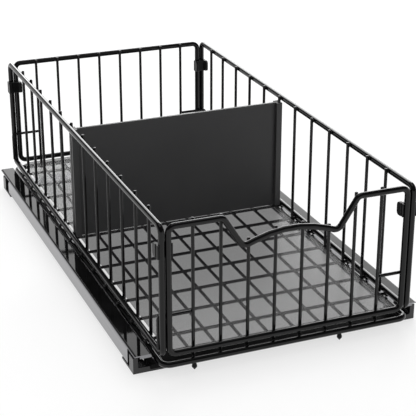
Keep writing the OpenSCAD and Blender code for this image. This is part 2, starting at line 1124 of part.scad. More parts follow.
left_rail();
right_rail();
front_crossbar();
rear_crossbar();
front_left_cap();
front_right_cap();
rear_left_cap();
rear_right_cap();
cap_rivets();
crossbar_screws();
left_slide_outer();
right_slide_outer();
slide_rivets();
left_outer_cage();
right_outer_cage();
outer_balls();
left_slide_middle();
right_slide_middle();
left_inner_cage();
right_inner_cage();
inner_balls();
left_slide_inner();
right_slide_inner();
left_brackets();
right_brackets();
bracket_screws();
floor_loop();
cross_wires();
long_wires();
left_frame();
left_wires();
right_frame();
right_wires();
front_frame();
front_wires();
rear_frame();
rear_wires();
front_hooks();
rear_hooks();
liner();
front_pegs();
divider_panel();
divider_left_edge();
divider_right_edge();
front_left_clip();
front_right_clip();
rear_left_clip();
rear_right_clip();
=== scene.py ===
"""Looks of a pull-out cabinet basket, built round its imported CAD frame.

Lengths in the dataclasses are millimetres, as on a maker's drawing, and become metres
where a mesh is written. X points right, Y to the back of the cabinet, Z up.
"""

import json
import logging
import math
from dataclasses import dataclass, field
from enum import Enum

import bmesh
import bpy
import numpy as np
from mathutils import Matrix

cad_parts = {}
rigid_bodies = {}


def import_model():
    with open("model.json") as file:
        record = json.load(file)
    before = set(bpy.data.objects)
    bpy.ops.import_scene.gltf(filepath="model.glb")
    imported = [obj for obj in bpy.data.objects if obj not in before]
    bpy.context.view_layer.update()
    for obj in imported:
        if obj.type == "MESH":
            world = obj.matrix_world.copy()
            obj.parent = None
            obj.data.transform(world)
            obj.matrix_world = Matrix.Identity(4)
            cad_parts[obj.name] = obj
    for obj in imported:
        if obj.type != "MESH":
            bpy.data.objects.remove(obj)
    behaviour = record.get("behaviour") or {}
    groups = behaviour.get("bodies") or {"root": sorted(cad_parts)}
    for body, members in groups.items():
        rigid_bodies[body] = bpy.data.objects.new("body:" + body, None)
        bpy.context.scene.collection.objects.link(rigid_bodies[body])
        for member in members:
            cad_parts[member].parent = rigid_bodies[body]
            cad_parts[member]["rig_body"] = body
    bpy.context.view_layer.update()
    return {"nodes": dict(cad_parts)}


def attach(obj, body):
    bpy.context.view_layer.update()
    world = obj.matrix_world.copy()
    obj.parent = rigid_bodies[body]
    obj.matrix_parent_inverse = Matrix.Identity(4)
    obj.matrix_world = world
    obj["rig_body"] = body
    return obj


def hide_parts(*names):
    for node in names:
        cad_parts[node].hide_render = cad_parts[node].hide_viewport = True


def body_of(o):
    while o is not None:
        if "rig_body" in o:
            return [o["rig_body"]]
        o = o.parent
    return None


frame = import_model()

MM = 0.001
LOG = logging.getLogger("basket")

Point = tuple[float, float]
Place = tuple[float, float, float]
Colour = tuple[float, float, float]

NOISE_RANGE = (0.3, 0.7)


class Plane(Enum):
    """Plane that a bent wire lies in."""

    LEVEL = "level"
    FACING_FRONT = "facing front"
    FACING_SIDE = "facing side"


# ---------- meshes ----------


def unit(v: np.ndarray) -> np.ndarray:
    """Vectors divided by their lengths.

    Args:
        v: Array whose last axis holds the vectors.

    Returns:
        Array of the same shape with unit vectors.
    """
    return v / np.maximum(np.linalg.norm(v, axis=-1, keepdims=True), 1e-12)


def bent_path(
    points: list[Point], bends: list[float], closed: bool, arc_step: float = 9.0
) -> np.ndarray:
    """Centre line of a bent wire: straight legs joined by circular arcs.

    At a corner with turn t and bend radius R, each leg gives up R tan(t/2), and the arc
    runs from one leg to the other about a centre R away on the inner side.

    Args:
        points: Corners of the path in its own plane.
        bends: Bend radius at each corner; the ends of an open path ignore theirs.
        closed: Whether the last corner joins the first.
        arc_step: Largest angle between two rings of an arc, in degrees.

    Returns:
        Array (n, 2) of the points along the path.
    """
    p = np.array(points, float)
    n = len(p)
    parts = []
    for i in range(n):
        if not closed and i in (0, n - 1):
            parts.append(p[i : i + 1])
            continue
        before, after = unit(p[i] - p[i - 1]), unit(p[(i + 1) % n] - p[i])
        turn = math.atan2(before[0] * after[1] - before[1] * after[0], before @ after)
        back = bends[i] * math.tan(abs(turn) / 2)
        side = math.copysign(1, turn) * np.array([-before[1], before[0]])
        steps = max(2, int(math.degrees(abs(turn)) / arc_step) + 1)
        t = np.linspace(0, abs(turn), steps + 1)[:, None]
        centre = p[i] - before * back + side * bends[i]
        parts.append(centre + bends[i] * (np.sin(t) * before - np.cos(t) * side))
    return np.concatenate(parts)


def in_plane(path: np.ndarray, plane: Plane, offset: float) -> tuple[np.ndarray, np.ndarray]:
    """Lifts a flat path into space.

    Args:
        path: Array (n, 2) in the plane's own two directions.
        plane: LEVEL takes them as x and y, FACING_FRONT as x and z, FACING_SIDE as y and z.
        offset: The third coordinate.

    Returns:
        The path as an array (n, 3) and the plane's unit normal.
    """
    third = np.full(len(path), offset)
    if plane is Plane.LEVEL:
        return np.column_stack([path[:, 0], path[:, 1], third]), np.array([0.0, 0.0, 1.0])
    if plane is Plane.FACING_FRONT:
        return np.column_stack([path[:, 0], third, path[:, 1]]), np.array([0.0, 1.0, 0.0])
    return np.column_stack([third, path[:, 0], path[:, 1]]), np.array([1.0, 0.0, 0.0])


@dataclass
class Surface:
    """Vertices and faces of one or more surfaces, in millimetres, ready to become a mesh."""

    vertices: list[np.ndarray] = field(default_factory=list)
    quads: list[np.ndarray] = field(default_factory=list)
    caps: list[np.ndarray] = field(default_factory=list)
    count: int = 0

    def add_grid(self, grid: np.ndarray, wrap_u: bool, wrap_v: bool, cap_ends: bool) -> None:
        """Adds a surface given as points on a grid.

        Args:
            grid: Array (rows, columns, 3); u runs down the rows, v along a row.
            wrap_u: Whether the last row joins the first.
            wrap_v: Whether each row closes on itself.
            cap_ends: Whether the first and last rows are closed with one face each.
        """
        rows, cols = grid.shape[:2]
        index = np.arange(rows * cols).reshape(rows, cols) + self.count
        a = index if wrap_u else index[:-1]
        b = np.roll(index, -1, 0) if wrap_u else index[1:]
        if wrap_v:
            faces = np.stack([a, np.roll(a, -1, 1), np.roll(b, -1, 1), b], -1)
        else:
            faces = np.stack([a[:, :-1], a[:, 1:], b[:, 1:], b[:, :-1]], -1)
        self.vertices.append(grid.reshape(-1, 3))
        self.quads.append(faces.reshape(-1, 4))
        if cap_ends:
            self.caps += [index[0][::-1], index[-1]]
        self.count += rows * cols

    def piece(self, name: str, smooth_below: float = 40.0) -> bpy.types.Object:
        """Writes the surfaces into a new mesh object.

        Args:
            name: Name of the object and its mesh.
            smooth_below: Edges that turn by less than this many degrees are shaded smooth.

        Returns:
            The object, at the origin, in metres.
        """
        points = np.concatenate(self.vertices) * MM
        faces = [*np.concatenate(self.quads).tolist(), *[c.tolist() for c in self.caps]]
        mesh = bpy.data.meshes.new(name)
        mesh.from_pydata(points.tolist(), [], faces)
        mesh.validate()
        mesh.update()
        mesh.set_sharp_from_angle(angle=math.radians(smooth_below))
        made = bpy.data.objects.new(name, mesh)
        bpy.context.scene.collection.objects.link(made)
        return made


def tube(
    surface: Surface,
    path: np.ndarray,
    normal: np.ndarray,
    radius: np.ndarray | float,
    closed: bool,
    sides: int,
) -> None:
    """Carries a circle along a path that lies in one plane.

    Ring point = centre + r (cos a * across + sin a * normal), where across is the
    direction in the plane at right angles to the path.

    Args:
        surface: Where the tube is added.
        path: Centre line, array (n, 3).
        normal: Unit normal of the path's plane.
        radius: Radius, one for all or one for each point of the path.
        closed: Whether the tube runs back into its start.
        sides: Corners of the circle.
    """
    ahead = np.roll(path, -1, 0) - path
    behind = path - np.roll(path, 1, 0)
    if not closed:
        ahead[-1], behind[0] = behind[-1], ahead[0]
    tangent = unit(unit(ahead) + unit(behind))
    across = np.cross(tangent, normal)
    a = np.linspace(0, 2 * math.pi, sides, endpoint=False)
    r = np.broadcast_to(np.asarray(radius, float), len(path))[:, None, None]
    rings = np.cos(a)[:, None] * across[:, None, :] + np.sin(a)[:, None] * normal
    grid = path[:, None, :] + r * rings
    surface.add_grid(grid[:, ::-1], wrap_u=closed, wrap_v=True, cap_ends=not closed)


def with_domed_ends(
    path: np.ndarray, radius: float, dome: float, rings: int = 5, reach: float = 0.97
) -> tuple[np.ndarray, np.ndarray]:
    """Rounds the two cut ends of a straight-ended wire.

    Over the last stretch of length dome the radius falls as r times the root of
    1 - u squared, u going from 0 to reach.

    Args:
        path: Centre line, array (n, 3).
        radius: Radius of the wire.
        dome: Length of the rounded stretch.
        rings: Rings in each rounded stretch.
        reach: Share of the dome that is drawn; a small flat face closes the rest.

    Returns:
        The path with the rounded stretches' points in it and the radius at each point.
    """
    u = np.linspace(0, 1, rings)[:, None] * reach
    first, last = unit(path[1] - path[0]), unit(path[-1] - path[-2])
    head = path[0] + first * dome * (1 - u[::-1])
    tail = path[-1] - last * dome * (1 - u)
    shrink = radius * np.sqrt(1 - u[:, 0] ** 2)
    middle = path[1:-1]
    return (
        np.concatenate([head, middle, tail]),
        np.concatenate([shrink[::-1], np.full(len(middle), radius), shrink]),
    )


# ---------- finishes ----------


class Nodes:
    """Adds shader nodes to a material or a world and links them by name."""

    def __init__(self, owner: bpy.types.Material | bpy.types.World) -> None:
        """Empties the owner's node tree, ready for new nodes."""
        owner.use_nodes = True
        self.owner = owner
        self.tree = owner.node_tree
        self.tree.nodes.clear()

    @classmethod
    def of_material(cls, name: str) -> "Nodes":
        """Starts an empty node material called name."""
        return cls(bpy.data.materials.new(name))

    def add(self, kind: str, **inputs: object) -> bpy.types.Node:
        """Adds a node.

        Args:
            kind: Blender's node type.
            inputs: Socket values or sockets to link, by socket name with spaces as _, or as
                i0, i1 by number; names that start with set_ are properties of the node.

        Returns:
            The new node.
        """
        made = self.tree.nodes.new(kind)
        settings = {key[4:]: value for key, value in inputs.items() if key.startswith("set_")}
        for key, value in settings.items():
            setattr(made, key, value)
        for key, value in inputs.items():
            if key.startswith("set_"):
                continue
            numbered = key[0] == "i" and key[1:].isdigit()
            socket = made.inputs[int(key[1:]) if numbered else key.replace("_", " ")]
            if isinstance(value, bpy.types.NodeSocket):
                self.tree.links.new(value, socket)
            else:
                socket.default_value = value
        return made

    def maths(
        self, operation: str, first: bpy.types.NodeSocket, second: bpy.types.NodeSocket | float
    ) -> bpy.types.NodeSocket:
        """Result of an operation, such as MAXIMUM, on two values."""
        return self.add("ShaderNodeMath", set_operation=operation, i0=first, i1=second).outputs[0]

    def seen(self, *rays: str) -> bpy.types.NodeSocket:
        """1 for the rays of the named kinds, such as Is Camera Ray, and 0 for the others."""
        path = self.add("ShaderNodeLightPath").outputs
        found = path[rays[0]]
        for ray in rays[1:]:
            found = self.maths("MAXIMUM", found, path[ray])
        return found

    def place(self, scale: Place = (1, 1, 1)) -> bpy.types.NodeSocket:
        """Object coordinates, stretched by scale."""
        where = self.add("ShaderNodeTexCoord")
        return self.add("ShaderNodeMapping", Vector=where.outputs["Object"], Scale=scale).outputs[0]

    def noise(
        self, vector: bpy.types.NodeSocket, scale: float, detail: float = 3, roughness: float = 0.5
    ) -> bpy.types.NodeSocket:
        """Grey noise of a scale in features per metre.

        Args:
            vector: Coordinates.
            scale: Features per metre.
            detail: Octaves.
            roughness: Weight of the finer octaves.

        Returns:
            The noise's value socket.
        """
        made = self.add(
            "ShaderNodeTexNoise", Vector=vector, Scale=scale, Detail=detail, Roughness=roughness
        )
        return made.outputs[0]

    def spread(self, noise: bpy.types.NodeSocket, low: float, high: float) -> bpy.types.NodeSocket:
        """Maps a noise, whose values lie mostly in NOISE_RANGE, to low..high.

        Args:
            noise: The socket to map.
            low: Result at the start of the range.
            high: Result at its end.

        Returns:
            The mapped socket.
        """
        start, end = NOISE_RANGE
        made = self.add(
            "ShaderNodeMapRange", Value=noise, From_Min=start, From_Max=end, To_Min=low, To_Max=high
        )
        return made.outputs[0]

    def between(
        self, share: bpy.types.NodeSocket, low: Colour, high: Colour
    ) -> bpy.types.NodeSocket:
        """Colour between two.

        Args:
            share: 0 gives low and 1 gives high.
            low: Linear colour.
            high: Linear colour.

        Returns:
            The colour socket.
        """
        ends = {"i6": (*low, 1), "i7": (*high, 1)}
        return self.add("ShaderNodeMix", set_data_type="RGBA", i0=share, **ends).outputs[2]

    def bump(self, height: bpy.types.NodeSocket, depth: float) -> bpy.types.NodeSocket:
        """Surface relief.

        Args:
            height: Height from 0 to 1.
            depth: What a height of 1 stands for, in metres.

        Returns:
            The normal socket.
        """
        return self.add("ShaderNodeBump", Height=height, Distance=depth).outputs[0]

    def finish(self, shader: bpy.types.Node) -> bpy.types.Material | bpy.types.World:
        """Links the shader to the surface and returns the owner of the nodes."""
        is_world = isinstance(self.owner, bpy.types.World)
        output = self.add("ShaderNodeOutputWorld" if is_world else "ShaderNodeOutputMaterial")
        self.tree.links.new(shader.outputs[0], output.inputs["Surface"])
        return self.owner


@dataclass(frozen=True)
class GlossCoat:
    """Gloss black coat baked on steel wire and sheet, with a faint orange peel.

    Colours are linear, peel and drift are features per metre, and peel_depth is metres.
    """

    name: str = "gloss_black_coat"
    dark: Colour = (0.001, 0.001, 0.0011)
    light: Colour = (0.0024, 0.0024, 0.0026)
    smoothest: float = 0.05
    roughest: float = 0.12
    peel: float = 420.0
    peel_depth: float = 0.000003
    ior: float = 1.37
    drift: float = 38.0

    def material(self) -> bpy.types.Material:
        """Builds the material."""
        n = Nodes.of_material(self.name)
        where = n.place()
        peel = n.noise(where, self.peel, detail=2)
        drift = n.noise(where, self.drift, detail=4)
        return n.finish(
            n.add(
                "ShaderNodeBsdfPrincipled",
                Base_Color=n.between(n.spread(drift, 0, 1), self.dark, self.light),
                Roughness=n.spread(drift, self.smoothest, self.roughest),
                Normal=n.bump(peel, self.peel_depth),
                IOR=self.ior,
            )
        )


@dataclass(frozen=True)
class MattBlack:
    """Fine-textured black of the divider, the moulded plastic and the flat bar.

    Colours are linear, grain and drift are features per metre, and grain_depth is metres.
    """

    name: str
    dark: Colour
    light: Colour
    roughness: float
    grain: float
    grain_depth: float
    specular: float = 0.5
    drift: float = 14.0
    roughness_drift: float = 0.05

    def material(self) -> bpy.types.Material:
        """Builds the material."""
        n = Nodes.of_material(self.name)
        where = n.place()
        grain = n.noise(where, self.grain, detail=3, roughness=0.6)
        drift = n.noise(where, self.drift, detail=3)
        smoothest = self.roughness - self.roughness_drift
        roughest = self.roughness + self.roughness_drift
        return n.finish(
            n.add(
                "ShaderNodeBsdfPrincipled",
                Base_Color=n.between(n.spread(drift, 0, 1), self.dark, self.light),
                Roughness=n.spread(drift, smoothest, roughest),
                Normal=n.bump(grain, self.grain_depth),
                Specular_IOR_Level=self.specular,
            )
        )


@dataclass(frozen=True)
class RolledSheet:
    """Bright or dark plated sheet with faint streaks along the rolling direction, Y.

    Colours are linear, streaks and waves are features per metre, and depths are metres.
    """

    name: str
    dark: Colour
    light: Colour
    smoothest: float
    roughest: float
    streaks: float = 900.0
    streak_stretch: float = 0.02
    streak_depth: float = 0.00001
    waves: float = 22.0
    wave_depth: float = 0.00002

    def material(self) -> bpy.types.Material:
        """Builds the material."""
        n = Nodes.of_material(self.name)
        along = n.place((1, self.streak_stretch, 1))
        streaks = n.noise(along, self.streaks, detail=4, roughness=0.6)
        waves = n.noise(n.place(), self.waves, detail=1)
        relief = n.bump(streaks, self.streak_depth)
        wavy = n.add("ShaderNodeBump", Height=waves, Distance=self.wave_depth, Normal=relief)
        return n.finish(
            n.add(
                "ShaderNodeBsdfPrincipled",
                Base_Color=n.between(n.spread(streaks, 0, 1), self.dark, self.light),
                Metallic=1.0,
                Roughness=n.spread(streaks, self.smoothest, self.roughest),
                Normal=wavy.outputs[0],
            )
        )


@dataclass(frozen=True)
class SmokedSheet:
    """Clear sheet tinted smoky grey; each face lets part of the light straight through.

    Colours are linear, ripples and drift are features per metre, and ripple_depth is metres.
    """

    name: str = "smoked_sheet"
    dark: Colour = (0.02, 0.02, 0.021)
    light: Colour = (0.024, 0.024, 0.0252)
    opacity: float = 0.47
    smoothest: float = 0.28
    roughest: float = 0.34
    ripples: float = 60.0
    ripple_depth: float = 0.000002
    ior: float = 1.2
    drift: float = 30.0

    def material(self) -> bpy.types.Material:
        """Builds the material."""
        n = Nodes.of_material(self.name)
        where = n.place()
        drift = n.noise(where, self.drift, detail=3)
        return n.finish(
            n.add(
                "ShaderNodeBsdfPrincipled",
                Base_Color=n.between(n.spread(drift, 0, 1), self.dark, self.light),
                Roughness=n.spread(drift, self.smoothest, self.roughest),
                Normal=n.bump(n.noise(where, self.ripples, detail=1), self.ripple_depth),
                Alpha=self.opacity,
                IOR=self.ior,
            )
        )


Finish = GlossCoat | MattBlack | RolledSheet | SmokedSheet

FINISHES: dict[str, Finish] = {
    "coat": GlossCoat(),
    "bead_coat": GlossCoat("bead_coat", smoothest=0.35, roughest=0.5),
    "matt": MattBlack(
        "matt_black_sheet",
        dark=(0.0295, 0.0295, 0.0305),
        light=(0.038, 0.038, 0.039),
        roughness=0.5,
        grain=1400,
        grain_depth=0.00004,
    ),
    "bar": MattBlack(
        "dark_bar",
        dark=(0.004, 0.004, 0.0042),
        light=(0.007, 0.007, 0.0073),
        roughness=0.6,
        grain=300,
        grain_depth=0.000004,
        specular=0.1,
    ),
    "moulded": MattBlack(
        "moulded_black",
        dark=(0.006, 0.006, 0.0063),
        light=(0.011, 0.011, 0.0115),
        roughness=0.4,
        grain=900,
        grain_depth=0.00003,
        specular=0.14,
    ),
    "glossy_moulded": MattBlack(
        "glossy_moulded_black",
        dark=(0.006, 0.006, 0.0063),
        light=(0.011, 0.011, 0.0115),
        roughness=0.22,
        grain=900,
        grain_depth=0.000005,
        specular=0.6,
    ),
    "rubbed": MattBlack(
        "rubbed_black",
        dark=(0.038, 0.038, 0.039),
        light=(0.055, 0.055, 0.056),
        roughness=0.36,
        grain=1200,
        grain_depth=0.00003,
    ),
    "nickel": RolledSheet(
        "dark_nickel",
        dark=(0.23, 0.23, 0.24),
        light=(0.28, 0.28, 0.29),
        smoothest=0.05,
        roughest=0.12,
    ),
    # Darker gloss for the rails' level tops only: painted shade by face direction, not a second
    # finish on the real sheet.
    "ledge": GlossCoat(
        "ledge_coat",
        dark=(0.003, 0.003, 0.0031),
        light=(0.006, 0.006, 0.0062),
        smoothest=0.03,
        roughest=0.06,
        peel=300,
        peel_depth=0.000001,
        ior=1.15,
    ),
    "zinc": RolledSheet(
        "zinc_plate", dark=(0.5, 0.5, 0.52), light=(0.6, 0.6, 0.62), smoothest=0.25, roughest=0.4
    ),
    "steel": RolledSheet(
        "bright_steel",
        dark=(0.62, 0.62, 0.63),
        light=(0.7, 0.7, 0.71),
        smoothest=0.12,
        roughest=0.2,
    ),
    "smoke": SmokedSheet(),
}


# ---------- the basket ----------


@dataclass(frozen=True)
class Wire:
    """Rod and wire gauges and how round they are drawn."""

    rod: float = 2.9
    wire: float = 1.6
    rod_sides: int = 20
    wire_sides: int = 14


@dataclass
class Basket:
    """The welded basket: panel frames, uprights, hooks and floor wires.

    Places are those of centre lines; names that end in _overlap say how far a wire sinks
    into the one that it is welded to.
    """

    coat: bpy.types.Material
    bead_coat: bpy.types.Material
    gauge: Wire = field(default_factory=Wire)
    side_x: float = 122.45
    post_y: float = 260.0
    end_x: float = 116.4
    low_z: float = 25.5
    top_z: float = 148.0
    frame_bend: float = 6.5
    side_wire_x: float = 118.0
    end_wire_y: float = 255.55
    nub_z: float = 151.3
    end_pitch: float = 26.3
    floor_y: float = 261.0
    floor_z: float = 15.0
    floor_bend: float = 8.0
    cross_z: float = 21.05
    long_z: float = 17.9
    hook_z: float = 61.4
    scoop_depth: float = 30.2
    scoop_pitches: float = 1.768
    shoulder_pitches: float = 2.5
    shoulder_bend: float = 6.0
    dip_bend: float = 7.0
    arch_angle: float = 20.0
    arch_curl: float = 2.243
    flank_drop: float = 1.0
    side_count: int = 12
    end_count: int = 8
    corner_shift: float = 3.6
    weld_overlap: float = 0.05
    nub_rise: float = 0.4
    end_dome: float = 0.6
    cross_overhang: float = 2.2
    cross_bend: float = 2.2
    cross_overlap: float = 0.2
    long_bend: float = 3.0
    long_drop: float = 2.0
    hook_overhang: float = 2.65
    hook_bend: float = 3.0
    hook_gap: float = 0.9
    divider_y: float = 20.0
    bead_depth: float = 1.0
    bead_width: float = 2.2
    bead_height: float = 1.7
    crossing_bead: Place = (2.0, 2.0, 0.8)
    bead_rings: int = 5
    bead_sides: int = 10
    bead_reach: float = 75.0

    def cross_ys(self) -> np.ndarray:
        """Places of the cross wires of the floor, which share the depth evenly."""
        bays = self.side_count + 1
        return np.arange(1, bays) * self.post_y * 2 / bays - self.post_y

    def side_ys(self) -> np.ndarray:
        """Places of the uprights along a side panel, the end ones drawn in a little."""
        ys = self.cross_ys()
        return ys - np.where(np.abs(ys) == np.abs(ys).max(), np.sign(ys) * self.corner_shift, 0.0)

    def end_xs(self) -> np.ndarray:
        """Places of the uprights across an end panel and of the long wires."""
        return (np.arange(self.end_count) - (self.end_count - 1) / 2) * self.end_pitch

    @property
    def dip(self) -> Point:
        """Place across the panel and height of the scoop's right low point."""
        return self.scoop_pitches * self.end_pitch, self.top_z - self.scoop_depth

    @property
    def shoulder_x(self) -> float:
        """Where the front panel's top rail turns down into the scoop."""
        return self.shoulder_pitches * self.end_pitch

    @property
    def arch_bend(self) -> float:
        """Bend radius of the low arch."""
        return self.arch_curl * self.dip[0]

    def scoop(self) -> tuple[list[Point], list[float]]:
        """Front panel's loop, whose top rail dips to a low arch.

        Returns:
            Its corners, from the right post's foot round to the left one's, and their bends.
        """
        dip, low = self.dip
        arch = low + dip * math.tan(math.radians(self.arch_angle))
        posts = [(self.end_x, self.low_z), (self.end_x, self.top_z)]
        right = [*posts, (self.shoulder_x, self.top_z), (dip, low)]
        left = [(-x, z) for x, z in reversed(right)]
        bends = [self.frame_bend, self.frame_bend, self.shoulder_bend, self.dip_bend]
        return [*right, (0.0, arch), *left], [*bends, self.arch_bend, *reversed(bends)]

    def rail_height(self, x: np.ndarray) -> np.ndarray:
        """Height of the front top rail's centre above x, where the uprights meet it.

        The steep flanks of the scoop count as flank_drop below the top, up to the same
        distance past the shoulder.

        Args:
            x: Places across the panel.

        Returns:
            Heights, one for each place.
        """
        angle = math.radians(self.arch_angle)
        dip, low = self.dip
        arch_z, bend = low + dip * math.tan(angle), self.arch_bend
        peak = arch_z - bend * (1 / math.cos(angle) - 1)
        a = np.abs(x)
        arch = peak - bend + np.sqrt(np.maximum(bend**2 - a**2, 0))
        height = np.where(a < bend * math.sin(angle), arch, arch_z - a * math.tan(angle))
        height = np.where(a > dip, self.top_z - self.flank_drop, height)
        return np.where(a > self.shoulder_x + self.flank_drop, self.top_z, height)

    def loop(
        self, name: str, corners: list[Point], bends: list[float], plane: Plane, offset: float
    ) -> None:
        """Builds one closed loop of rod.

        Args:
            name: The CAD node that the loop stands for.
            corners: Corners in the loop's plane.
            bends: Bend radius at each corner.
            plane: The loop's plane.
            offset: Where the plane lies.
        """
        made = Surface()
        path, normal = in_plane(bent_path(corners, bends, closed=True), plane, offset)
        tube(made, path, normal, self.gauge.rod, True, self.gauge.rod_sides)
        self.dress(made, name, "rod")

    def dress(self, surface: Surface, name: str, ending: str) -> None:
        """Makes a piece of the basket from a surface.

        Args:
            surface: The piece's surfaces.
            name: The CAD node that it stands for.
            ending: Last word of the piece's own name.
        """
        made = surface.piece(f"{name}_{ending}")
        made.data.materials.append(self.coat)
        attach(made, "basket")
        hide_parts(name)
        LOG.info("%s stands for %s", made.name, name)

    def box_loop(self, half: float) -> tuple[list[Point], list[float]]:
        """Corners and bends of a plain panel loop of the given half width."""
        low, top = self.low_z, self.top_z
        return [(-half, low), (half, low), (half, top), (-half, top)], [self.frame_bend] * 4

    def frames(self) -> None:
        """Builds the four panel loops and the floor loop."""
        side = self.box_loop(self.post_y)
        self.loop("left_frame", *side, Plane.FACING_SIDE, -self.side_x)
        self.loop("right_frame", *side, Plane.FACING_SIDE, self.side_x)
        self.loop("rear_frame", *self.box_loop(self.end_x), Plane.FACING_FRONT, self.post_y)
        self.loop("front_frame", *self.scoop(), Plane.FACING_FRONT, -self.post_y)
        x, y = self.side_x, self.floor_y
        corners = [(-x, -y), (x, -y), (x, y), (-x, y)]
        self.loop("floor_loop", corners, [self.floor_bend] * 4, Plane.LEVEL, self.floor_z)

    def uprights(self) -> None:
        """Builds the uprights of the four panels, each a wire with domed ends."""
        foot = self.cross_z + self.gauge.wire - self.weld_overlap
        end_foot = self.long_z + self.gauge.wire - self.weld_overlap
        xs = self.end_xs()
        side = [(y, foot, self.nub_z) for y in self.side_ys()]
        rear = [(x, end_foot, self.nub_z) for x in xs]
        nubs = self.rail_height(xs) + self.gauge.rod + self.nub_rise
        front = [(x, end_foot, nub) for x, nub in zip(xs, nubs)]
        self.upright_row("left_wires", side, Plane.FACING_SIDE, -self.side_wire_x)
        self.upright_row("right_wires", side, Plane.FACING_SIDE, self.side_wire_x)
        self.upright_row("rear_wires", rear, Plane.FACING_FRONT, self.end_wire_y)
        self.upright_row("front_wires", front, Plane.FACING_FRONT, -self.end_wire_y)

    def upright_row(
        self, name: str, row: list[tuple[float, float, float]], plane: Plane, offset: float
    ) -> None:
        """Builds one panel's uprights.

        Args:
            name: The CAD node that they stand for.
            row: Place along the panel, foot height and top height of each.
            plane: The panel's plane.
            offset: Where the plane lies.
        """
        made = Surface()
        for along, foot, top in row:
            line = np.array([(along, foot), (along, (foot + top) / 2), (along, top)])
            self.wire(made, *in_plane(line, plane, offset))
        self.dress(made, name, "drawn")

    def wire(self, surface: Surface, path: np.ndarray, normal: np.ndarray) -> None:
        """Adds a wire whose cut ends are domed.

        Args:
            surface: Where the wire is added.
            path: Centre line, array (n, 3).
            normal: Unit normal of the path's plane.
        """
        full, radii = with_domed_ends(path, self.gauge.wire, self.end_dome)
        tube(surface, full, normal, radii, False, self.gauge.wire_sides)

    def bent_wires(
        self, name: str, runs: list[tuple[list[Point], float, float]], plane: Plane
    ) -> None:
        """Builds a set of open bent wires.

        Args:
            name: The CAD node that they stand for.
            runs: Corners, bend radius and plane offset of each wire.
            plane: The plane that each lies in.
        """
        made = Surface()
        for corners, bend, offset in runs:
            line = bent_path(corners, [bend] * len(corners), closed=False, arc_step=15)
            self.wire(made, *in_plane(line, plane, offset))
        self.dress(made, name, "drawn")

    def floor(self) -> None:
        """Builds the cross wires and the long wires, with their bent-down ends."""
        rod, wire = self.gauge.rod, self.gauge.wire
        x, low = self.side_x + self.cross_overhang, self.floor_z + rod - self.cross_overlap
        cross = [(-x, low), (-x, self.cross_z), (x, self.cross_z), (x, low)]
        runs = [(cross, self.cross_bend, y) for y in self.cross_ys()]
        self.bent_wires("cross_wires", runs, Plane.FACING_FRONT)
        y, low = self.floor_y - rod - wire + self.weld_overlap, self.floor_z - self.long_drop
        long = [(-y, low), (-y, self.long_z), (y, self.long_z), (y, low)]
        runs = [(long, self.long_bend, x) for x in self.end_xs()]
        self.bent_wires("long_wires", runs, Plane.FACING_SIDE)

    def hooks(self) -> None:
        """Builds the corner hooks at the front and the back."""
        start = self.end_xs()[-1] + self.gauge.wire - self.weld_overlap
        x, low = self.side_x + self.hook_overhang, self.low_z + self.gauge.rod + self.hook_gap
        right = [(start, self.hook_z), (x, self.hook_z), (x, low)]
        left = [(-px, pz) for px, pz in right]
        for name, y in (("front_hooks", -self.end_wire_y), ("rear_hooks", self.end_wire_y)):
            runs = [(right, self.hook_bend, y), (left, self.hook_bend, y)]
            self.bent_wires(name, runs, Plane.FACING_FRONT)

    def weld_places(self) -> list[tuple[Place, Place]]:
        """Centre and half axes of the bead at each place where two wires touch.

        Returns:
            One pair for each bead: uprights on their rails, then the crossings of the floor.
            The divider's upright has none at its foot, where the edge channels slide.
        """
        touch_x = self.side_wire_x + self.gauge.wire
        touch_y = self.end_wire_y + self.gauge.wire
        side = (self.bead_depth, self.bead_width, self.bead_height)
        end = (self.bead_width, self.bead_depth, self.bead_height)
        ys, xs, low, top = self.side_ys(), self.end_xs(), self.low_z, self.top_z
        feet = [y for y in ys if not math.isclose(y, self.divider_y)]
        beads = [((s * touch_x, y, top), side) for s in (-1, 1) for y in ys]
        beads += [((s * touch_x, y, low), side) for s in (-1, 1) for y in feet]
        beads += [((x, touch_y, z), end) for x in xs for z in (low, top)]
        rail = zip(xs, self.rail_height(xs))
        beads += [((x, -touch_y, z), end) for x, high in rail for z in (low, high)]
        crossing = (self.cross_z + self.long_z) / 2
        crossings = [(x, y, crossing) for x in xs for y in self.cross_ys()]
        return beads + [(place, self.crossing_bead) for place in crossings]

    def welds(self) -> None:
        """Builds the weld beads, each a flattened ball.

        A point of a bead is centre + half axes * (cos p cos a, cos p sin a, sin p), for
        a round the bead and p from -bead_reach to bead_reach.
        """
        p = np.radians(np.linspace(-self.bead_reach, self.bead_reach, self.bead_rings))[:, None]
        a = np.linspace(0, 2 * math.pi, self.bead_sides, endpoint=False)[None, :]
        across = np.cos(p)
        ball = np.stack([across * np.cos(a), across * np.sin(a), np.sin(p) * np.ones_like(a)], -1)
        made = Surface()
        for centre, half in self.weld_places():
            bead = np.array(centre) + np.array(half) * ball
            made.add_grid(bead, wrap_u=False, wrap_v=True, cap_ends=True)
        beads = made.piece("weld_beads", smooth_below=60.0)
        beads.data.materials.append(self.bead_coat)
        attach(beads, "basket")
        LOG.info("%s made", beads.name)

    def build(self) -> None:
        """Builds the whole basket."""
        self.frames()
        self.uprights()
        self.floor()
        self.hooks()
        self.welds()


# ---------- CAD pieces with soft edges ----------


@dataclass(frozen=True)
class EdgeFinish:
    """How a folded or moulded piece is finished: its faces, its edges, or its level tops, whose own
    darker finish is painted shade by face direction.
    """

    main: bpy.types.Material
    slot: str
    edge: bpy.types.Material | None = None
    # top: darker finish for upward faces only, painted shade by face direction
    top: bpy.types.Material | None = None
    radius: float = 0.0


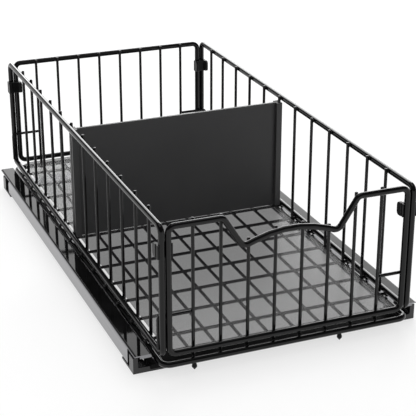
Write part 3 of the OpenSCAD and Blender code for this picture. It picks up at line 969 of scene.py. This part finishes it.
@dataclass
class SoftEdges:
    """CAD pieces redrawn with the small rounded, rubbed edges of folded and moulded parts.

    Angles are degrees, merge_within is metres, and level_above is the least upward part of a
    level face's unit normal; such faces take the top finish, which is painted shade.
    """

    pieces: dict[str, EdgeFinish]
    merge_within: float = 0.000002
    flat_within: float = 1.0
    sharp_above: float = 28.0
    level_above: float = 0.9
    segments: int = 2

    def merged(self, node: str) -> bpy.types.Mesh:
        """A copy of a CAD node's mesh with its triangles joined and its flats made whole.

        Args:
            node: The CAD node.

        Returns:
            The new mesh.
        """
        mesh = bpy.data.meshes.new(f"{node}_soft")
        shell = bmesh.new()
        shell.from_mesh(frame["nodes"][node].data)
        bmesh.ops.remove_doubles(shell, verts=shell.verts, dist=self.merge_within)
        bmesh.ops.dissolve_limit(
            shell,
            angle_limit=math.radians(self.flat_within),
            verts=shell.verts,
            edges=shell.edges,
            use_dissolve_boundaries=False,
        )
        for face in shell.faces:
            face.smooth = True
        shell.to_mesh(mesh)
        shell.free()
        return mesh

    def redraw(self, node: str, finish: EdgeFinish) -> None:
        """Makes the soft-edged piece that stands for a CAD node.

        Args:
            node: The CAD node.
            finish: Its materials and the radius of its edges in millimetres.
        """
        held = frame["nodes"][node]
        mesh = self.merged(node)
        mesh.set_sharp_from_angle(angle=math.radians(self.sharp_above))
        mesh.materials.append(finish.main)
        mesh.materials.append(finish.top or finish.edge or finish.main)
        # Level faces take the darker top finish: painted shade chosen by face direction.
        if finish.top:
            normals = np.zeros(3 * len(mesh.polygons), np.float32)
            mesh.polygons.foreach_get("normal", normals)
            level = (normals[2::3] > self.level_above).astype(np.int32)
            mesh.polygons.foreach_set("material_index", level)
        made = bpy.data.objects.new(mesh.name, mesh)
        bpy.context.scene.collection.objects.link(made)
        if finish.radius:
            soft = made.modifiers.new("rounded_edges", "BEVEL")
            soft.width = finish.radius * MM
            soft.segments = self.segments
            soft.limit_method = "ANGLE"
            soft.angle_limit = math.radians(self.sharp_above)
            soft.material = 1 if finish.edge else -1
        flats = made.modifiers.new("flat_faces", "WEIGHTED_NORMAL")
        flats.keep_sharp = True
        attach(made, (body_of(held) or [held.parent.name])[0])
        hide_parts(node)
        LOG.info("%s stands for %s", made.name, node)

    def build(self) -> None:
        """Redraws every piece of the list."""
        for node, finish in self.pieces.items():
            self.redraw(node, finish)


# ---------- what stays as the CAD made it ----------


@dataclass
class CarriedOver:
    """CAD nodes whose shape is right and that only take a finish."""

    finishes: dict[str, bpy.types.Material]
    nodes: dict[str, tuple[str, ...]]

    def dress(self) -> None:
        """Gives each node its finish."""
        for finish, names in self.nodes.items():
            for name in names:
                held = frame["nodes"][name]
                held.data.materials.clear()
                held.data.materials.append(self.finishes[finish])
                LOG.info("%s takes %s", name, finish)


# ---------- studio ----------


@dataclass(frozen=True)
class Lamp:
    """A rectangular soft lamp, in metres and watts."""

    name: str
    at: Place
    size: Point
    power: float


@dataclass
class Studio:
    """Pale floor, soft light and the camera.

    Lengths are metres and angles degrees. Mirrors see the world fall from white to the
    ceiling's strength between the two heights of horizon, on a sphere of radius 1.
    """

    camera_at: Place = (-0.4594, -1.1959, 0.5871)
    yaw: float = 22.083
    pitch: float = 22.948
    lens: float = 111.49
    sensor: float = 36.0
    clip: Point = (0.02, 60.0)
    floor_half: float = 6.0
    floor_z: float = -0.0002
    paper: Point = (0.31, 0.33)
    glow: float = 0.65
    ambient: float = 0.78
    horizon: Point = (0.16, 0.38)
    ceiling: float = 0.1
    aim: Place = (0.0, 0.0, 0.05)
    lamps: tuple[Lamp, ...] = (
        Lamp("overhead_lamp", (0.0, 0.1, 2.0), (1.6, 1.6), 7.0),
        Lamp("back_lamp", (1.2, 2.5, 1.5), (2.6, 2.3), 84.0),
    )

    def camera(self) -> None:
        """Makes the camera and sets it as the scene's."""
        data = bpy.data.cameras.new("camera")
        data.lens = self.lens
        data.sensor_width = self.sensor
        data.clip_start, data.clip_end = self.clip
        made = bpy.data.objects.new("camera", data)
        made.location = self.camera_at
        made.rotation_euler = (math.radians(90 - self.pitch), 0.0, -math.radians(self.yaw))
        bpy.context.scene.collection.objects.link(made)
        bpy.context.scene.camera = made

    def floor(self) -> None:
        """Makes the pale floor, which glows to camera, mirror and glass so as to read as white."""
        h, z = self.floor_half, self.floor_z
        mesh = bpy.data.meshes.new("studio_floor")
        mesh.from_pydata([(-h, -h, z), (h, -h, z), (h, h, z), (-h, h, z)], [], [(0, 1, 2, 3)])
        made = bpy.data.objects.new("studio_floor", mesh)
        bpy.context.scene.collection.objects.link(made)
        n = Nodes.of_material("studio_floor")
        low, high = self.paper
        grain = n.noise(n.place(), 3, detail=2)
        paper = n.add("ShaderNodeBsdfDiffuse", Color=n.between(grain, (low,) * 3, (high,) * 3))
        seen = n.seen("Is Camera Ray", "Is Glossy Ray", "Is Transmission Ray")
        strength = n.maths("MULTIPLY", seen, self.glow)
        glow = n.add("ShaderNodeEmission", Color=(1, 1, 1, 1), Strength=strength)
        both = n.add("ShaderNodeAddShader", i0=paper.outputs[0], i1=glow.outputs[0])
        mesh.materials.append(n.finish(both))

    def world(self) -> None:
        """Even soft light from all round; mirrors see white at the horizon and a dark ceiling."""
        world = bpy.data.worlds.new("studio")
        bpy.context.scene.world = world
        n = Nodes(world)
        direction = n.add("ShaderNodeTexCoord").outputs["Generated"]
        low, high = self.horizon
        fall = n.add(
            "ShaderNodeMapRange",
            set_interpolation_type="SMOOTHSTEP",
            Value=n.add("ShaderNodeSeparateXYZ", i0=direction).outputs["Z"],
            From_Min=low,
            From_Max=high,
            To_Min=1.0,
            To_Max=self.ceiling,
        )
        mirrored, plain, soft = (
            n.add("ShaderNodeBackground", Color=(1, 1, 1, 1), Strength=strength).outputs[0]
            for strength in (fall.outputs[0], 1.0, self.ambient)
        )
        lit = n.add("ShaderNodeMixShader", i0=n.seen("Is Glossy Ray"), i1=soft, i2=mirrored)
        straight = n.seen("Is Camera Ray", "Is Transmission Ray")
        n.finish(n.add("ShaderNodeMixShader", i0=straight, i1=lit.outputs[0], i2=plain))

    def hang(self, lamp: Lamp) -> None:
        """Hangs a lamp and turns it to the object."""
        data = bpy.data.lights.new(lamp.name, "AREA")
        data.shape = "RECTANGLE"
        data.size, data.size_y = lamp.size
        data.energy = lamp.power
        made = bpy.data.objects.new(lamp.name, data)
        aim = unit(np.array(self.aim) - np.array(lamp.at))
        made.location = lamp.at
        made.rotation_euler = (math.acos(-aim[2]), 0.0, math.atan2(-aim[0], aim[1]))
        bpy.context.scene.collection.objects.link(made)

    def build(self) -> None:
        """Builds the studio."""
        self.camera()
        self.floor()
        self.world()
        for lamp in self.lamps:
            self.hang(lamp)


# ---------- which piece takes which finish ----------

CAPS = ("front_left_cap", "front_right_cap", "rear_left_cap", "rear_right_cap")
CLIPS = ("front_left_clip", "front_right_clip", "rear_left_clip", "rear_right_clip")
DIVIDER = ("divider_panel", "divider_left_edge", "divider_right_edge")
RAILS = ("left_rail", "right_rail")

CARRIED: dict[str, tuple[str, ...]] = {
    "bar": ("front_crossbar",),
    "moulded": ("front_pegs",),
    "zinc": (
        "cap_rivets",
        "crossbar_screws",
        "left_slide_outer",
        "right_slide_outer",
        "slide_rivets",
        "left_slide_middle",
        "right_slide_middle",
        "left_slide_inner",
        "right_slide_inner",
        "left_brackets",
        "right_brackets",
        "rear_crossbar",
    ),
    "steel": (
        "left_outer_cage",
        "right_outer_cage",
        "outer_balls",
        "left_inner_cage",
        "right_inner_cage",
        "inner_balls",
        "bracket_screws",
    ),
    "smoke": ("liner",),
}


def soft_pieces(made: dict[str, bpy.types.Material]) -> dict[str, EdgeFinish]:
    """Finish of each CAD piece that is redrawn with soft edges.

    Args:
        made: Materials by their names in FINISHES.

    Returns:
        Finishes by CAD node.
    """
    foot = EdgeFinish(made["glossy_moulded"], "black_plastic", edge=made["rubbed"], radius=0.3)
    clip = EdgeFinish(made["moulded"], "black_plastic", edge=made["rubbed"], radius=0.3)
    folded = EdgeFinish(made["matt"], "black_coat", edge=made["rubbed"], radius=0.2)
    # One rail sheet with two finishes: brighter walls and darker level tops, painted light and
    # shade by face direction.
    sheet = EdgeFinish(made["nickel"], "dark_chrome", top=made["ledge"])
    return {
        **dict.fromkeys(CAPS, foot),
        **dict.fromkeys(CLIPS, clip),
        **dict.fromkeys(DIVIDER, folded),
        **dict.fromkeys(RAILS, sheet),
    }


def main() -> None:
    """Builds the looks in order and reports each piece."""
    logging.basicConfig(level=logging.INFO, format="%(name)s: %(message)s")
    bpy.context.scene.view_settings.view_transform = "Standard"
    Studio().build()
    made = {name: finish.material() for name, finish in FINISHES.items()}
    Basket(made["coat"], made["bead_coat"]).build()
    SoftEdges(soft_pieces(made)).build()
    CarriedOver(made, CARRIED).dress()
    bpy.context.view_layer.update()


if __name__ == "__main__":
    main()
